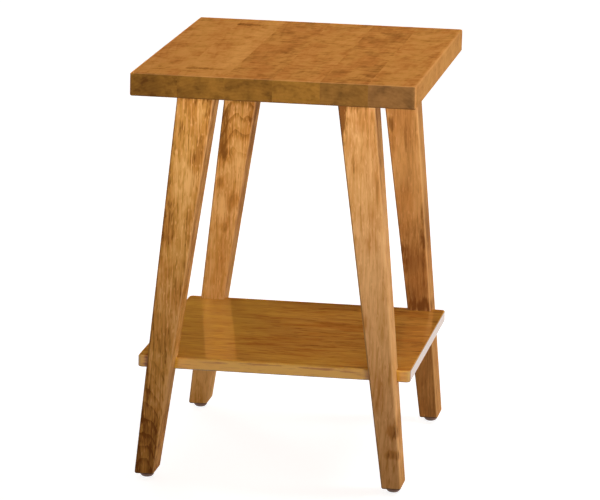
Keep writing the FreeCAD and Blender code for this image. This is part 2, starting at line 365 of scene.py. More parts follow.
@dataclass(frozen=True)
class StainedMaple:
    """Brown maple, planed, sanded, wiped with a honey stain and sprayed with clear lacquer.

    The stain sinks deeper into the late wood, the end grain and the figure, so these are darker. Eased
    edges that do not face left carry a painted highlight, and those that face front left or down carry
    painted shade. The lacquer has nearly the index of the wood, so only its own smooth surface shines.

    Attributes:
        name: Name of the finish.
        pale: Colour where the stain took least.
        middle: Colour of the plain wood.
        warm: Colour of the plain wood where it drifts to red.
        dark: Colour of late wood and streaks.
        end_pale: Colour of the end grain where it is open.
        end_dark: Colour of the end grain where it drank most stain.
        edge_highlight: Colour of the painted highlight on the eased edges.
        edge_shade: Colour of the painted shade on the eased edges at the front left and underneath.
        ring_width: Width of a growth ring in millimetres, drawn about twice as coarse as real ones so
            that it shows.
        patterns: The marks all over the wood.
        lacquer: The clear coat.
        sway: How far the fibres wander from straight, in millimetres.
        sway_cell: Size of one bend across, through and along the grain, in millimetres.
        roughness: Roughness of the palest and of the darkest wood under the lacquer.
        relief: Height in millimetres of pale wood above dark wood, and the share left after sanding.
        ior: Index of refraction of wood and lacquer.
    """

    name: str
    pale: str
    middle: str
    warm: str
    dark: str
    end_pale: str
    end_dark: str
    edge_highlight: str
    edge_shade: str
    ring_width: float
    patterns: tuple[Pattern, ...]
    lacquer: Lacquer
    sway: float = 6.0
    sway_cell: Triple = (30.0, 30.0, 110.0)
    roughness: Pair = (0.4, 0.6)
    relief: Pair = (0.3, 0.1)
    ior: float = 1.5

    def build(self, piece: str, blank: Blank) -> Material:
        """Make the material of one piece.

        Args:
            piece: Name of the piece, which ends the material's name.
            blank: How the piece was cut.

        Returns:
            The finished material.
        """
        material = new_material(f"{self.name}_{piece}")
        tree = material.node_tree
        coords = add_node(tree, "ShaderNodeTexCoord").outputs
        bent = self.wander(tree, coords["Object"], blank)
        tone = self.figure(tree, coords["Object"], bent, blank)
        colour = self.stain(tree, bent, tone)
        # Painted highlights and painted shade on the eased edges.
        colour = self.paint_edge_light_and_shade(tree, colour, coords["Normal"])
        colour = self.soak_ends(tree, colour, tone, coords["Normal"], blank)
        film, film_roughness = self.lacquer.value
        add_surface(tree, colour, tone, self.roughness, self.relief, {
            "IOR": self.ior, "Specular IOR Level": 0.0, "Coat Weight": film,
            "Coat Roughness": film_roughness, "Coat IOR": self.ior,
        })
        return material

    def wander(self, tree: Tree, place: Socket, blank: Blank) -> Socket:
        """Find the place in the log, and bend the straight fibres a little.

        Args:
            tree: The material's tree.
            place: Place in the table's frame, in metres.
            blank: How the piece was cut.

        Returns:
            The bent place in the log, with Z along the grain.
        """
        own = add_node(tree, "ShaderNodeMapping", {
            "Vector": place, "Location": blank.middle, "Rotation": radians(blank.turn),
        }, vector_type="TEXTURE")
        shifted = add_node(tree, "ShaderNodeVectorMath", {0: own.outputs[0], 1: blank.log_place},
                           operation="ADD").outputs[0]
        sway = add_node(tree, "ShaderNodeMapping", {"Vector": shifted, "Scale": metres(self.sway_cell)},
                        vector_type="TEXTURE")
        drift = add_node(tree, "ShaderNodeTexNoise", {
            "Vector": sway.outputs[0], "Scale": 1.0, "Detail": 2.0, "Roughness": 0.5,
        })
        centred = add_node(tree, "ShaderNodeVectorMath", {0: drift.outputs["Color"], 1: (0.5, 0.5, 0.5)},
                           operation="SUBTRACT")
        return add_node(tree, "ShaderNodeVectorMath", {
            0: centred.outputs[0], 1: metres((self.sway, self.sway, 0.0)), 2: shifted,
        }, operation="MULTIPLY_ADD").outputs[0]

    def figure(self, tree: Tree, place: Socket, bent: Socket, blank: Blank) -> Socket:
        """Draw how dark the wood is, from its rings, its patterns and its single marks.

        Args:
            tree: The material's tree.
            place: Place in the table's frame, in metres.
            bent: Place in the log, in metres, with Z along the grain.
            blank: How the piece was cut.

        Returns:
            A value from 0, palest, to 1, darkest.
        """
        cut = blank.cut
        across, through, along = blank.log_place
        log = add_node(tree, "ShaderNodeMapping", {
            "Vector": bent,
            "Location": (across + cut.pith[0] * MM, through + cut.pith[1] * MM, along),
            "Rotation": radians((*cut.tilt, 0.0)),
            "Scale": (1.0, 1.0, LOG_STRETCH),
        }, vector_type="TEXTURE").outputs[0]
        rings = add_node(tree, "ShaderNodeTexWave", {
            "Vector": log,
            "Scale": WAVE_PERIOD / (self.ring_width * MM),
            "Distortion": 4.0,
            "Detail": 3.0,
            "Detail Scale": 0.35,
            "Detail Roughness": 0.6,
        }, wave_type="RINGS", rings_direction="Z", wave_profile="SAW").outputs["Fac"]
        late = add_node(tree, "ShaderNodeMapRange", {
            "Value": rings, "From Min": LATE_WOOD[0], "From Max": LATE_WOOD[1],
        }, interpolation_type="SMOOTHSTEP").outputs[0]
        height = add_node(tree, "ShaderNodeSeparateXYZ", {0: bent})
        strength = add_node(tree, "ShaderNodeMapRange", {
            "Value": height.outputs["Z"],
            "From Min": along + cut.span[0] * MM, "From Max": along + cut.span[1] * MM,
            "To Min": cut.rings[1], "To Max": cut.rings[0],
        }, interpolation_type="SMOOTHSTEP").outputs[0]
        level = AVERAGE_TONE + cut.tone - LATE_SHARE * sum(cut.rings) / 2
        base = level - cut.streaks * sum(p.share * p.gain for p in self.patterns)
        tone = add_node(tree, "ShaderNodeMath", {0: late, 1: strength, 2: base},
                        operation="MULTIPLY_ADD").outputs[0]
        for pattern in self.patterns:
            tone = add_node(tree, "ShaderNodeMath", {
                0: pattern.draw(tree, bent), 1: cut.streaks * pattern.gain, 2: tone,
            }, operation="MULTIPLY_ADD").outputs[0]
        ragged = RAGGED_EDGE.draw(tree, bent) if cut.marks else None
        for mark in cut.marks:
            shown = mark.draw(tree, place, radians(blank.turn), ragged)
            tone = add_node(tree, "ShaderNodeMath", {0: shown, 1: mark.gain, 2: tone},
                            operation="MULTIPLY_ADD").outputs[0]
        return tone

    def stain(self, tree: Tree, bent: Socket, tone: Socket) -> Socket:
        """Colour the long grain by its tone.

        Args:
            tree: The material's tree.
            bent: Place in the log, in metres.
            tone: How dark the wood is.

        Returns:
            The colour at each point.
        """
        body = add_node(tree, "ShaderNodeMix", {
            SHARE: RED_DRIFT.draw(tree, bent),
            FIRST: linear(self.middle), SECOND: linear(self.warm),
        }, data_type="RGBA")
        paler = add_node(tree, "ShaderNodeMapRange", {"Value": tone, "From Max": PLAIN_TONE})
        darker = add_node(tree, "ShaderNodeMapRange", {"Value": tone, "From Min": PLAIN_TONE})
        plain = add_node(tree, "ShaderNodeMix", {
            SHARE: paler.outputs[0], FIRST: linear(self.pale), SECOND: body.outputs[MIXED],
        }, data_type="RGBA")
        return add_node(tree, "ShaderNodeMix", {
            SHARE: darker.outputs[0], FIRST: plain.outputs[MIXED], SECOND: linear(self.dark),
        }, data_type="RGBA").outputs[MIXED]

    def paint_edge_light_and_shade(self, tree: Tree, colour: Socket, normal: Socket) -> Socket:
        """Paint a highlight and shade onto the eased edges.

        Args:
            tree: The material's tree.
            colour: The colour of the flat faces.
            normal: Surface direction in the table's frame.

        Returns:
            The colour with the eased edges in it.
        """
        size = add_node(tree, "ShaderNodeVectorMath", {0: normal}, operation="ABSOLUTE")
        sides = add_node(tree, "ShaderNodeSeparateXYZ", {0: size.outputs[0]}).outputs
        level = add_node(tree, "ShaderNodeMath", {0: sides["X"], 1: sides["Y"]}, operation="MAXIMUM")
        largest = add_node(tree, "ShaderNodeMath", {0: level.outputs[0], 1: sides["Z"]},
                           operation="MAXIMUM")
        eased = add_node(tree, "ShaderNodeMapRange", {
            "Value": largest.outputs[0], "From Min": EASED[0], "From Max": EASED[1],
        }, interpolation_type="SMOOTHSTEP")
        for edge_paint in EDGE_LIGHT_AND_SHADE:
            turned = add_node(tree, "ShaderNodeVectorMath", {0: normal, 1: edge_paint.axis},
                              operation="DOT_PRODUCT")
            side = add_node(tree, "ShaderNodeMapRange", {
                "Value": turned.outputs["Value"], "From Min": edge_paint.begin, "From Max": edge_paint.full,
                "To Max": edge_paint.share,
            })
            reach = add_node(tree, "ShaderNodeMath", {0: eased.outputs[0], 1: side.outputs[0]},
                             operation="MULTIPLY")
            # Colour of the painted highlight or of the painted shade.
            shade = self.edge_highlight if edge_paint.rubs else self.edge_shade
            colour = add_node(tree, "ShaderNodeMix", {
                SHARE: reach.outputs[0], FIRST: colour, SECOND: linear(shade),
            }, data_type="RGBA").outputs[MIXED]
        return colour

    def soak_ends(self, tree: Tree, colour: Socket, tone: Socket, normal: Socket, blank: Blank) -> Socket:
        """Darken the end grain, which drinks the stain.

        Args:
            tree: The material's tree.
            colour: The colour of the long grain.
            tone: How dark the wood is.
            normal: Surface direction in the table's frame.
            blank: How the piece was cut.

        Returns:
            The colour with the end grain in it.
        """
        along = Euler(radians(blank.turn)).to_matrix() @ Vector((0.0, 0.0, 1.0))
        facing = add_node(tree, "ShaderNodeVectorMath", {0: normal, 1: along}, operation="DOT_PRODUCT")
        square = add_node(tree, "ShaderNodeMath", {0: facing.outputs["Value"], 1: 2.0}, operation="POWER")
        end = add_node(tree, "ShaderNodeMapRange", {
            "Value": square.outputs[0], "From Min": END_GRAIN[0], "From Max": END_GRAIN[1],
        }, interpolation_type="SMOOTHSTEP")
        soaked = add_node(tree, "ShaderNodeMix", {
            SHARE: tone, FIRST: linear(self.end_pale), SECOND: linear(self.end_dark),
        }, data_type="RGBA")
        return add_node(tree, "ShaderNodeMix", {
            SHARE: end.outputs[0], FIRST: colour, SECOND: soaked.outputs[MIXED],
        }, data_type="RGBA").outputs[MIXED]


TOP_PATTERNS = (
    Pattern(cell=(5, 5, 60), detail=3, low=0.3, high=0.7, gain=0.1),
    Pattern(cell=(26, 26, 50), detail=3, low=0.3, high=0.7, gain=0.3),
    Pattern(cell=(17, 11, 9), detail=2, low=0.46, high=0.7, gain=0.25, share=0.4),
)
SHELF_PATTERNS = (
    Pattern(cell=(5, 7, 110), detail=3, low=0.3, high=0.7, gain=0.1),
    Pattern(cell=(14, 20, 60), detail=3, low=0.3, high=0.7, gain=0.28),
    Pattern(cell=(3.2, 5.5, 26), detail=2, low=0.53, high=0.66, gain=0.26, share=0.3),
)
LEG_PATTERNS = (
    Pattern(cell=(2.6, 2.6, 70), detail=1, low=0.33, high=0.67, gain=0.27),
    Pattern(cell=(8, 8, 160), detail=2, low=0.3, high=0.7, gain=0.18),
    Pattern(cell=(24, 24, 55), detail=3, low=0.33, high=0.67, gain=0.32),
    Pattern(cell=(2.2, 2.2, 16), detail=1, low=0.58, high=0.7, gain=0.22, share=0.2),
    Pattern(cell=(1.7, 1.7, 60), detail=1, low=0.56, high=0.63, gain=0.2, share=0.25),
    Pattern(cell=(2.2, 2.2, 12), detail=1, low=0.6, high=0.7, gain=-0.3, share=0.14),
)

# The edge colours of each finish below are a painted highlight and painted shade on the eased edges.
TOP_MAPLE = StainedMaple(
    "stained_maple_satin_top", pale="#d29850", middle="#c08540", warm="#b87838", dark="#804d1c",
    end_pale="#a2722e", end_dark="#5a3a15", edge_highlight="#c8935a", edge_shade="#33200f", ring_width=5.0,
    patterns=TOP_PATTERNS, lacquer=Lacquer.SATIN)
MIXED_END_TOP_MAPLE = replace(
    TOP_MAPLE, name="stained_maple_satin_mixed_end_top", end_pale="#9e7033", end_dark="#583a19")
GREY_END_TOP_MAPLE = replace(
    TOP_MAPLE, name="stained_maple_satin_grey_end_top", end_pale="#976b3a", end_dark="#553920")
SHELF_MAPLE = StainedMaple(
    "stained_maple_gloss_shelf", pale="#f2ba4a", middle="#d8973f", warm="#cc8433", dark="#92561a",
    end_pale="#be8440", end_dark="#885628", edge_highlight="#e8b860", edge_shade="#5c3c20", ring_width=4.0,
    patterns=SHELF_PATTERNS, lacquer=Lacquer.SEMI_GLOSS)
LEG_MAPLE = StainedMaple(
    "stained_maple_satin_leg", pale="#ebb66f", middle="#cf9549", warm="#c6873f", dark="#865320",
    end_pale="#93682a", end_dark="#523614", edge_highlight="#e2b074", edge_shade="#452b14", ring_width=4.0,
    patterns=LEG_PATTERNS, lacquer=Lacquer.SATIN)
PINK_LEG_MAPLE = replace(
    LEG_MAPLE, name="stained_maple_satin_pink_leg", pale="#edb97c", middle="#d29855", warm="#c88a49",
    dark="#885527")


@dataclass(frozen=True)
class RawBeech:
    """Beech dowel, turned and left raw: pale pinkish wood with short brown flecks along the grain.

    Attributes:
        name: Name of the finish.
        grain: Way that the dowels lie.
        pale: Colour of the wood.
        fleck: Colour of the flecks.
        fleck_size: Size of a fleck across, through and along the grain, in millimetres.
        roughness: Roughness of the plain wood and of the flecks.
        relief: Depth of the flecks in millimetres, and the share of it that shows.
    """

    name: str
    grain: Grain
    pale: str = "#dcc39b"
    fleck: str = "#a97f55"
    fleck_size: Triple = (0.6, 0.6, 2.5)
    roughness: Pair = (0.65, 0.8)
    relief: Pair = (0.1, 0.2)

    def build(self) -> Material:
        """Make the material.

        Returns:
            The finished material.
        """
        material = new_material(self.name)
        tree = material.node_tree
        coords = add_node(tree, "ShaderNodeTexCoord")
        cell = add_node(tree, "ShaderNodeMapping", {
            "Vector": coords.outputs["Object"], "Rotation": radians(self.grain.value),
            "Scale": metres(self.fleck_size),
        }, vector_type="TEXTURE")
        noise = add_node(tree, "ShaderNodeTexNoise", {
            "Vector": cell.outputs[0], "Scale": 1.0, "Detail": 2.0,
        })
        shown = add_node(tree, "ShaderNodeMapRange", {
            "Value": noise.outputs["Fac"], "From Min": 0.5, "From Max": 0.75,
        })
        colour = add_node(tree, "ShaderNodeMix", {
            SHARE: shown.outputs[0], FIRST: linear(self.pale), SECOND: linear(self.fleck),
        }, data_type="RGBA")
        add_surface(tree, colour.outputs[MIXED], shown.outputs[0], self.roughness, self.relief,
                    {"IOR": 1.5})
        return material


@dataclass(frozen=True)
class MouldedPolyethylene:
    """Dark brown polyethylene, moulded in a lightly etched tool: an even, waxy sheen with a fine grain.

    Attributes:
        name: Name of the finish.
        body: Colour of the plastic.
        rub: Colour where the floor has worn it.
        rub_height: Height above the floor up to which it is rubbed, in millimetres.
        grit: Size of the etched grain in millimetres, drawn coarser than the real one so that it shows.
        roughness: Roughness in the hollows and on the heights of the grain.
        relief: Height of the grain in millimetres, and the share of it that shows.
    """

    name: str = "moulded_brown_polyethylene"
    body: str = "#8a5f45"
    rub: str = "#9c7f6a"
    rub_height: float = 2.5
    grit: float = 1.2
    roughness: Pair = (0.14, 0.34)
    relief: Pair = (0.1, 0.2)

    def build(self) -> Material:
        """Make the material.

        Returns:
            The finished material.
        """
        material = new_material(self.name)
        tree = material.node_tree
        coords = add_node(tree, "ShaderNodeTexCoord")
        grain = add_node(tree, "ShaderNodeTexNoise", {
            "Vector": coords.outputs["Object"], "Scale": 1 / (self.grit * MM), "Detail": 2.0,
        })
        height = add_node(tree, "ShaderNodeSeparateXYZ", {0: coords.outputs["Object"]})
        worn = add_node(tree, "ShaderNodeMapRange", {
            "Value": height.outputs["Z"], "From Min": self.rub_height * MM, "From Max": 0.0,
        })
        share = add_node(tree, "ShaderNodeMath", {0: worn.outputs[0], 1: grain.outputs["Fac"]},
                         operation="MULTIPLY")
        colour = add_node(tree, "ShaderNodeMix", {
            SHARE: share.outputs[0], FIRST: linear(self.body), SECOND: linear(self.rub),
        }, data_type="RGBA")
        add_surface(tree, colour.outputs[MIXED], grain.outputs["Fac"], self.roughness, self.relief,
                    {"IOR": 1.51}, sunk=False)
        return material


@dataclass(frozen=True)
class DrawnSteel:
    """Steel nail wire, drawn bright: a grey metal with fine lines along its length.

    Attributes:
        name: Name of the finish.
        bright: Colour of the bare metal.
        dull: Colour in the die lines.
        line: Size of the die lines across, through and along the wire, in millimetres.
        roughness: Roughness of the bare metal and in the die lines.
        relief: Depth of the die lines in millimetres, and the share of it that shows.
    """

    name: str = "bright_drawn_steel"
    bright: str = "#c9c7c4"
    dull: str = "#8f8c88"
    line: Triple = (0.4, 0.4, 12.0)
    roughness: Pair = (0.25, 0.45)
    relief: Pair = (0.05, 0.2)

    def build(self) -> Material:
        """Make the material.

        Returns:
            The finished material.
        """
        material = new_material(self.name)
        tree = material.node_tree
        coords = add_node(tree, "ShaderNodeTexCoord")
        cell = add_node(tree, "ShaderNodeMapping", {
            "Vector": coords.outputs["Object"], "Scale": metres(self.line),
        }, vector_type="TEXTURE")
        noise = add_node(tree, "ShaderNodeTexNoise", {
            "Vector": cell.outputs[0], "Scale": 1.0, "Detail": 2.0,
        })
        colour = add_node(tree, "ShaderNodeMix", {
            SHARE: noise.outputs["Fac"], FIRST: linear(self.bright), SECOND: linear(self.dull),
        }, data_type="RGBA")
        add_surface(tree, colour.outputs[MIXED], noise.outputs["Fac"], self.roughness, self.relief,
                    {"Metallic": 1.0})
        return material


TOP_RINGS = (0.08, 0.08)
TOP_CUTS = (
    Cut(pith=(20, 70), tilt=(2, -1), tone=0.0, rings=TOP_RINGS, marks=(
        Mark((-180, -294, 617), (70, 60, 5), 0.3),
    )),
    Cut(pith=(11, 70), tilt=(2, -0.5), tone=0.0, rings=TOP_RINGS, marks=(
        Mark((-122, -223, 635), (44, 14, 12), 0.45),
        Mark((-121, 234, 635), (44, 14, 12), 0.45),
        Mark((-86, 0, 635), (19, 40, 420), -0.26),
        Mark((-118, -294, 617), (50, 60, 5), 0.22),
    )),
    Cut(pith=(2, 70), tilt=(2, 0), tone=0.15, rings=TOP_RINGS),
    Cut(pith=(-7, 70), tilt=(2, 0.5), tone=0.05, rings=TOP_RINGS),
    Cut(pith=(-16, 70), tilt=(2, 1), tone=0.14, rings=TOP_RINGS),
    Cut(pith=(-25, 70), tilt=(2, 1.5), tone=0.04, rings=TOP_RINGS, marks=(
        # Paler along the top's right side: painted light.
        Mark((215, 0, 617), (6, 60, 500), -0.32),
    )),
)


@dataclass
class TableTop:
    """The thick top: boards that run front to back, glued edge to edge.

    Attributes:
        first_number: Steps through the log to the first board.
        cuts: How each board was cut, from left to right.
        finishes: Finish of each board. The end grain of the last two is greyer.
    """

    first_number: float = 1.0
    cuts: tuple[Cut, ...] = TOP_CUTS
    finishes: tuple[StainedMaple, ...] = (*[TOP_MAPLE] * 4, MIXED_END_TOP_MAPLE, GREY_END_TOP_MAPLE)

    def dress(self) -> None:
        """Give each board its own cut of the stained maple."""
        for i, (cut, finish) in enumerate(zip(self.cuts, self.finishes)):
            name = f"top_board_{i + 1}"
            blank = Blank(middle_of(name), Grain.FRONT_TO_BACK.value, self.first_number + i, cut)
            paint(name, finish.build(name, blank))


# Painted light on the left part of the shelf and painted shade on its right part and right end, over all
# its boards.
SHELF_LIGHT_AND_SHADE = (
    Mark((-140, 60, 187), (60, 260, 120), -0.2),
    Mark((90, 60, 187), (60, 260, 140), 0.14),
    Mark((215, 0, 187), (60, 300, 80), 0.14),
)
SHELF_CUTS = (
    Cut(pith=(80, -12), tilt=(1, 2), tone=-0.05, marks=(
        *SHELF_LIGHT_AND_SHADE,
        Mark((0, -221, 178), (30, 7, 400), -0.42),
        # Painted shadow of the front left leg on the shelf's left tip.
        Mark((-193, -215, 178), (30, 40, 8), 0.7),
        Mark((-20, -221, 183.5), (2.2, 9, 36), 0.5),
        Mark((-96, -221, 182), (2, 9, 26), 0.45),
        Mark((68, -221, 182.5), (2, 9, 40), 0.45),
        Mark((118, -221, 180), (2.2, 9, 18), 0.4),
    )),
    Cut(pith=(80, 0), tilt=(1, 2), tone=0.04, marks=SHELF_LIGHT_AND_SHADE),
    Cut(pith=(80, 12), tilt=(1, 2), tone=0.02, marks=SHELF_LIGHT_AND_SHADE),
    Cut(pith=(80, 24), tilt=(1, 2), tone=-0.05, marks=SHELF_LIGHT_AND_SHADE),
)


@dataclass
class Shelf:
    """The thin shelf: boards that run left to right, glued edge to edge.

    Attributes:
        first_number: Steps through the log to the first board.
        cuts: How each board was cut, from front to back.
    """

    first_number: float = 11.0
    cuts: tuple[Cut, ...] = SHELF_CUTS

    def dress(self) -> None:
        """Give each board its own cut of the stained maple."""
        for i, cut in enumerate(self.cuts):
            name = f"shelf_board_{i + 1}"
            blank = Blank(middle_of(name), Grain.LEFT_TO_RIGHT.value, self.first_number + i, cut)
            paint(name, SHELF_MAPLE.build(name, blank))


LEG_CUTS = {
    Corner.FRONT_LEFT: Cut(
        pith=(-36, 48), tilt=(-10, 0), tone=0.05, rings=(0.02, 0.3), span=(-200, -60), streaks=1.15,
        marks=(
            Mark((-187, -257.5, 40), (26, 60, 75), 0.3),
            # Painted shade under the top on the leg's upper right corner and right face.
            Mark((-101, -257.5, 590), (15, 40, 26), 0.42),
            Mark((-106, -257.5, 556), (8, 16, 16), 0.22),
            Mark((-129, -257.5, 419), (9, 16, 17), 0.24),
            # Darker along the left edge: painted shade.
            Mark((-188, -257.5, 160), (6, 20, 40), 0.3),
            Mark((-196, -257.5, 80), (6, 20, 40), 0.3),
            Mark((-132, -257.5, 556), (10, 16, 14), -0.22),
            Mark((-149, -257.5, 445), (12, 20, 16), -0.25),
            Mark((-150, -257.5, 525), (5, 12, 16), 0.22),
            Mark((-160, -257.5, 385), (16, 20, 50), 0.2),
            Mark((-175, -257.5, 170), (40, 60, 120), 0.07),
            Mark((-126, -257.5, 472), (11, 20, 30), -0.32),
            # Paler lower right face: painted light.
            Mark((-155, -229.5, 160), (8, 60, 75), -0.5),
        )),
    Corner.FRONT_RIGHT: Cut(
        pith=(60, 80), tilt=(-4, 0), tone=-0.06, rings=(0.04, 0.16), span=(-150, 50), streaks=0.7,
        marks=(
            Mark((98, -257.5, 592), (12, 20, 54), 0.9),
            Mark((130, -257.5, 545), (50, 60, 80), 0.1),
            Mark((150, -257.5, 370), (50, 60, 100), -0.12),
            Mark((122, -257.5, 530), (10, 20, 22), -0.25),
            Mark((127, -257.5, 411), (10, 20, 24), -0.22),
            Mark((110, -257.5, 507), (6, 16, 26), -0.22),
            # Darker upper right face: painted shade under the top's overhang.
            Mark((150, -229, 585), (8, 60, 30), 0.3),
            Mark((191, -257.5, 101), (12, 16, 13), 0.42),
            Mark((191, -257.5, 64), (14, 16, 9), 0.42),
            # Darker right face lower down: painted shade under the top's overhang.
            Mark((158, -229, 480), (7, 60, 90), 0.2),
            Mark((172, -257.5, 240), (40, 60, 240), -0.1),
            Mark((188, -257.5, 60), (40, 60, 110), -0.14),
            Mark((208, -229, 60), (9, 60, 110), 0.42),
            Mark((197, -229, 108), (6, 60, 24), 0.35),
        )),
    Corner.BACK_LEFT: Cut(
        pith=(18, 60), tilt=(-9, 0), tone=-0.05, rings=(0.35, 0.05), span=(70, 190),
        marks=(
            Mark((-157, 201.5, 456), (12, 16, 56), 0.5),
            Mark((-147, 201.5, 424), (9, 14, 18), 0.3),
            # Darker upper right face: painted shade under the top's overhang.
            Mark((-110, 201.5, 505), (9, 60, 25), 0.25),
            Mark((-132, 201.5, 530), (50, 60, 80), 0.1),
            Mark((-150, 201.5, 350), (50, 60, 90), -0.12),
            Mark((-138, 201.5, 350), (9, 14, 18), 0.3),
            Mark((-160, 201.5, 380), (7, 12, 12), 0.3),
            Mark((-154, 201.5, 308), (9, 12, 9), 0.3),
            Mark((-180, 201.5, 90), (34, 60, 100), -0.32),
            # Darker right face: painted shade.
            Mark((-114, 229.5, 440), (7, 60, 55), 0.24),
            Mark((-128, 229.5, 345), (7, 60, 55), 0.24),
        )),
    Corner.BACK_RIGHT: Cut(
        pith=(-50, 70), tilt=(-5, 0), tone=0.11, rings=(0.05, 0.08), span=(-100, 100), streaks=0.45,
        marks=(
            Mark((115, 201.5, 490), (6, 12, 15), 0.4),
            Mark((139, 201.5, 480), (2.5, 12, 45), 0.22),
            Mark((160, 201.5, 250), (26, 40, 110), 0.2),
            # Darker along the left edge: painted shade.
            Mark((141, 201.5, 276), (8, 16, 40), 0.3),
            Mark((174, 229.5, 322), (8, 60, 60), 0.25),
            # Painted shadow on the leg just above the shelf.
            Mark((178, 201.5, 196), (30, 60, 14), 0.35),
            Mark((188, 201.5, 70), (30, 60, 110), 0.1),
        )),
}


@dataclass
class Legs:
    """The four legs, which lean outwards and taper to the foot.

    Attributes:
        top_offset: Distance of a leg's middle from the table's middle under the top, in millimetres.
        foot_offset: That distance at the foot.
        height: Height of the legs' upper end above the floor, in millimetres.
        row_offset: Distance of a row's middle from the table's middle, in millimetres.
        grain_share: Share of the lean that the grain follows, so that it runs out at the leaning faces.
        top_shadow_size: Half sizes of the top's painted shadow on the upper end of each leg, in
            millimetres.
        top_shadow_gain: How much darker that painted shadow makes it.
        first_number: Steps through the log to the first leg.
        cuts: How each leg was cut.
    """

    top_offset: float = 121.0
    foot_offset: float = 190.5
    height: float = 600.0
    row_offset: float = 229.5
    grain_share: float = 0.2
    top_shadow_size: Triple = (60.0, 60.0, 14.0)
    top_shadow_gain: float = 0.32
    first_number: float = 21.0
    cuts: dict[Corner, Cut] = field(default_factory=LEG_CUTS.copy)

    def lean(self, corner: Corner) -> float:
        """Give the turn of a leg about the table's depth, in degrees."""
        side = corner.value[0]
        return side * -math.degrees(math.atan2(self.foot_offset - self.top_offset, self.height))

    def dress(self) -> None:
        """Give each leg its own cut of the stained maple."""
        for i, (corner, cut) in enumerate(self.cuts.items()):
            name = f"{corner.label}_leg"
            side, row = corner.value
            under_top = (side * self.top_offset, row * self.row_offset, self.height)
            # Painted shadow of the top on the leg's upper end.
            top_shadow = Mark(under_top, self.top_shadow_size, self.top_shadow_gain)
            blank = Blank(middle_of(name), (0.0, self.grain_share * self.lean(corner), 0.0),
                          self.first_number + i, replace(cut, marks=(*cut.marks, top_shadow)))
            finish = PINK_LEG_MAPLE if side > 0 else LEG_MAPLE
            paint(name, finish.build(name, blank))


@dataclass
class Joinery:
    """The hidden dowels between the legs, the top and the shelf.

    Attributes:
        per_leg: Number of dowels between each leg and the top.
        upright: Finish of the dowels between the legs and the top.
        level: Finish of the dowels between the legs and the shelf.
    """

    per_leg: int = 2
    upright: RawBeech = RawBeech("raw_turned_beech_upright", Grain.UPRIGHT)
    level: RawBeech = RawBeech("raw_turned_beech_level", Grain.FRONT_TO_BACK)

    def dress(self) -> None:
        """Give the upright and the level dowels raw beech."""
        upright = self.upright.build()
        level = self.level.build()
        for corner in Corner:
            for number in range(self.per_leg):
                paint(f"{corner.label}_leg_dowel_{number + 1}", upright)
            paint(f"{corner.label}_shelf_dowel", level)


@dataclass
class Feet:
    """The glides under the legs and the nails that hold them.

    Attributes:
        glide: Finish of the glides.
        nail: Finish of the nails.
    """

    glide: MouldedPolyethylene = MouldedPolyethylene()
    nail: DrawnSteel = DrawnSteel()

    def dress(self) -> None:
        """Give the glides brown plastic and the nails bright steel."""
        plastic = self.glide.build()
        steel = self.nail.build()
        for corner in Corner:
            paint(f"{corner.label}_glide", plastic)
            paint(f"{corner.label}_glide_nail", steel)


@dataclass(frozen=True)
class Softbox:
    """A soft studio lamp.

    Attributes:
        name: Name of the lamp.
        place: Its place in metres.
        aim: The point that it is turned to, in metres.
        width: Width of its face in metres.
        height: Height of its face in metres.
        power: Its power in watts.
        spread: Angle in degrees that its grid lets through.
    """

    name: str
    place: Triple
    aim: Triple
    width: float
    height: float
    power: float
    spread: float = 180.0

    def build(self) -> None:
        """Hang the lamp and turn it to its aim."""
        light = bpy.data.lights.new(self.name, "AREA")
        light.shape = "RECTANGLE"
        light.size = self.width
        light.size_y = self.height
        light.energy = self.power
        light.spread = math.radians(self.spread)
        lamp = bpy.data.objects.new(self.name, light)
        lamp.location = self.place
        lamp.rotation_euler = (Vector(self.aim) - Vector(self.place)).to_track_quat("-Z", "Y").to_euler()
        lamp.visible_camera = False
        bpy.context.scene.collection.objects.link(lamp)


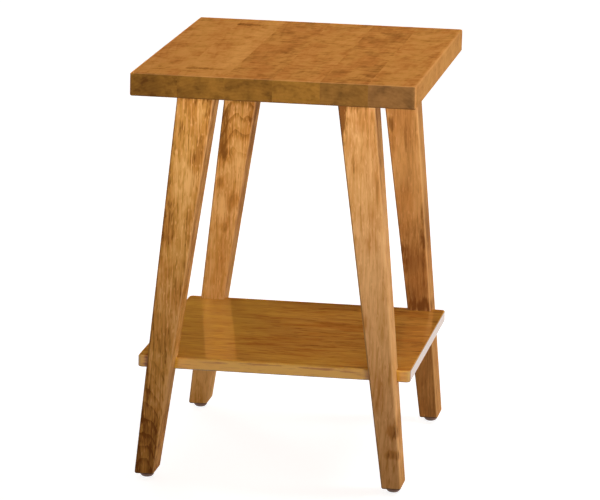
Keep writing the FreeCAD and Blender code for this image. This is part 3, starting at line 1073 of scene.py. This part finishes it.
@dataclass
class Studio:
    """A pale floor, soft lamps and dim surroundings.

    Attributes:
        floor_size: Length of the floor's sides in metres.
        floor_colour: Colour of the floor's paint.
        surroundings: Colour of the room around.
        strength: How bright the room is on the right.
        left_strength: How bright it is on the left.
        left_range: Sideways part of the direction between which the room goes from left to right.
        back_share: Share of that brightness which is left straight behind the table.
        back_range: Backward part of the direction between which the room dims to that share.
        near: Distance in metres from the table up to which the floor has its near glow.
        far: Distance in metres from which it has its far glow.
        near_glow: How near the floor comes to white at the table.
        far_glow: How near it comes to white far away.
        lamps: The lamps.
    """

    floor_size: float = 60.0
    floor_colour: str = "#b4b4b4"
    surroundings: str = "#b88b5d"
    strength: float = 0.38
    left_strength: float = 0.12
    left_range: Pair = (-0.8, -0.2)
    back_share: float = 0.2
    back_range: Pair = (0.7, 0.93)
    near: float = 0.5
    far: float = 1.8
    near_glow: float = 0.86
    far_glow: float = 1.0
    lamps: tuple[Softbox, ...] = (
        Softbox("front_softbox", (1.1, -3.9, 1.2), (0.0, 0.0, 0.95), 1.0, 0.8, 5.6, 26.0),
        Softbox("top_softbox", (-0.4, -0.2, 2.4), (0.0, 0.0, 0.6), 1.6, 1.6, 8.4),
        Softbox("right_softbox", (1.35, 0.3, 2.2), (0.0, 0.0, 0.35), 1.0, 0.8, 17.4),
        Softbox("low_softbox", (2.4, 0.5, 0.4), (0.0, -0.1, 0.0), 0.8, 0.5, 1.9, 50.0),
        Softbox("back_softbox", (-0.4, 2.0, 2.3), (0.0, 0.0, 0.3), 1.4, 1.0, 8.0),
        Softbox("back_fill", (-2.2, 3.4, 1.0), (0.0, 0.0, 0.5), 1.0, 0.8, 2.2, 30.0),
        Softbox("left_fill", (-3.0, 0.4, 0.9), (0.0, 0.0, 0.4), 1.2, 0.9, 1.4, 40.0),
    )

    def build(self) -> None:
        """Lay the floor, hang the lamps and set the surroundings."""
        self.lay_floor()
        for lamp in self.lamps:
            lamp.build()
        self.set_surroundings()
        bpy.context.scene.view_settings.view_transform = "Standard"

    def lay_floor(self) -> None:
        """Lay one large flat floor under the table."""
        half = self.floor_size / 2
        mesh = bpy.data.meshes.new("studio_floor")
        corners = [(-half, -half, 0.0), (half, -half, 0.0), (half, half, 0.0), (-half, half, 0.0)]
        mesh.from_pydata(corners, [], [(0, 1, 2, 3)])
        mesh.materials.append(self.floor_paint())
        floor = bpy.data.objects.new("studio_floor", mesh)
        bpy.context.scene.collection.objects.link(floor)

    def floor_paint(self) -> Material:
        """Make the floor's matt white paint, which shows white to the eye and keeps the shadow.

        Returns:
            The finished material.
        """
        material = new_material("matt_white_floor_paint")
        tree = material.node_tree
        coords = add_node(tree, "ShaderNodeTexCoord")
        away = add_node(tree, "ShaderNodeVectorMath", {0: coords.outputs["Object"]}, operation="LENGTH")
        glow = add_node(tree, "ShaderNodeMapRange", {
            "Value": away.outputs["Value"], "From Min": self.near, "From Max": self.far,
            "To Min": self.near_glow, "To Max": self.far_glow,
        }, interpolation_type="SMOOTHSTEP")
        path = add_node(tree, "ShaderNodeLightPath")
        mirrored = add_node(tree, "ShaderNodeMath", {
            0: path.outputs["Is Glossy Ray"], 1: path.outputs["Is Transmission Ray"],
        }, operation="MAXIMUM")
        seen = add_node(tree, "ShaderNodeMath", {
            0: path.outputs["Is Camera Ray"], 1: mirrored.outputs[0],
        }, operation="MAXIMUM")
        strength = add_node(tree, "ShaderNodeMath", {0: seen.outputs[0], 1: glow.outputs[0]},
                            operation="MULTIPLY")
        paint_layer = add_node(tree, "ShaderNodeBsdfDiffuse", {"Color": linear(self.floor_colour)})
        white = add_node(tree, "ShaderNodeEmission", {"Strength": strength.outputs[0]})
        both = add_node(tree, "ShaderNodeAddShader", {0: paint_layer.outputs[0], 1: white.outputs[0]})
        add_node(tree, "ShaderNodeOutputMaterial", {"Surface": both.outputs[0]})
        return material

    def set_surroundings(self) -> None:
        """Set the dim room, which is darker on the left and straight behind the table."""
        world = bpy.data.worlds.new("dim_studio")
        world.use_nodes = True
        tree = world.node_tree
        tree.nodes.clear()
        direction = add_node(tree, "ShaderNodeTexCoord")
        parts = add_node(tree, "ShaderNodeSeparateXYZ", {0: direction.outputs["Generated"]})
        level = add_node(tree, "ShaderNodeMapRange", {
            "Value": parts.outputs["X"], "From Min": self.left_range[0], "From Max": self.left_range[1],
            "To Min": self.left_strength, "To Max": self.strength,
        }, interpolation_type="SMOOTHSTEP")
        behind = add_node(tree, "ShaderNodeMapRange", {
            "Value": parts.outputs["Y"], "From Min": self.back_range[0], "From Max": self.back_range[1],
            "To Min": 1.0, "To Max": self.back_share,
        }, interpolation_type="SMOOTHSTEP")
        strength = add_node(tree, "ShaderNodeMath", {0: level.outputs[0], 1: behind.outputs[0]},
                            operation="MULTIPLY")
        room = add_node(tree, "ShaderNodeBackground", {
            "Color": linear(self.surroundings), "Strength": strength.outputs[0],
        })
        add_node(tree, "ShaderNodeOutputWorld", {"Surface": room.outputs[0]})
        bpy.context.scene.world = world


@dataclass
class Viewpoint:
    """The camera, as the perspective of the photograph gives it.

    Attributes:
        focal: Focal length in pixels of the frame.
        frame_width: Width of the frame in pixels.
        place: Camera's place in metres.
        yaw: Turn to the right in degrees.
        pitch: Look down in degrees.
        roll: Turn about the line of sight in degrees.
        reach: How far the camera sees, in metres.
    """

    focal: float = 4055.0
    frame_width: int = 600
    place: Triple = (0.934, -6.147, 1.606)
    yaw: float = -8.61
    pitch: float = 11.70
    roll: float = -1.43
    reach: float = 100.0

    def build(self) -> None:
        """Make the camera and hand it to the scene."""
        yaw, pitch, roll = radians((self.yaw, self.pitch, self.roll))
        ahead = Vector((math.sin(yaw) * math.cos(pitch), math.cos(yaw) * math.cos(pitch), -math.sin(pitch)))
        level = Vector((math.cos(yaw), -math.sin(yaw), 0.0))
        under = ahead.cross(level)
        right = math.cos(roll) * level + math.sin(roll) * under
        down = -math.sin(roll) * level + math.cos(roll) * under
        data = bpy.data.cameras.new("photo_camera")
        data.sensor_fit = "HORIZONTAL"
        data.lens = self.focal * data.sensor_width / self.frame_width
        data.clip_end = self.reach
        camera = bpy.data.objects.new("photo_camera", data)
        turn = Matrix((right, -down, -ahead)).transposed().to_4x4()
        camera.matrix_world = Matrix.Translation(self.place) @ turn
        bpy.context.scene.collection.objects.link(camera)
        bpy.context.scene.camera = camera


def main() -> None:
    """Dress the table from the top down, then build the studio and the camera."""
    logging.basicConfig(level=logging.INFO, format="%(name)s %(message)s")
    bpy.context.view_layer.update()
    for part in (TableTop(), Shelf(), Legs(), Joinery(), Feet()):
        part.dress()
    Studio().build()
    Viewpoint().build()


if __name__ == "__main__":
    main()
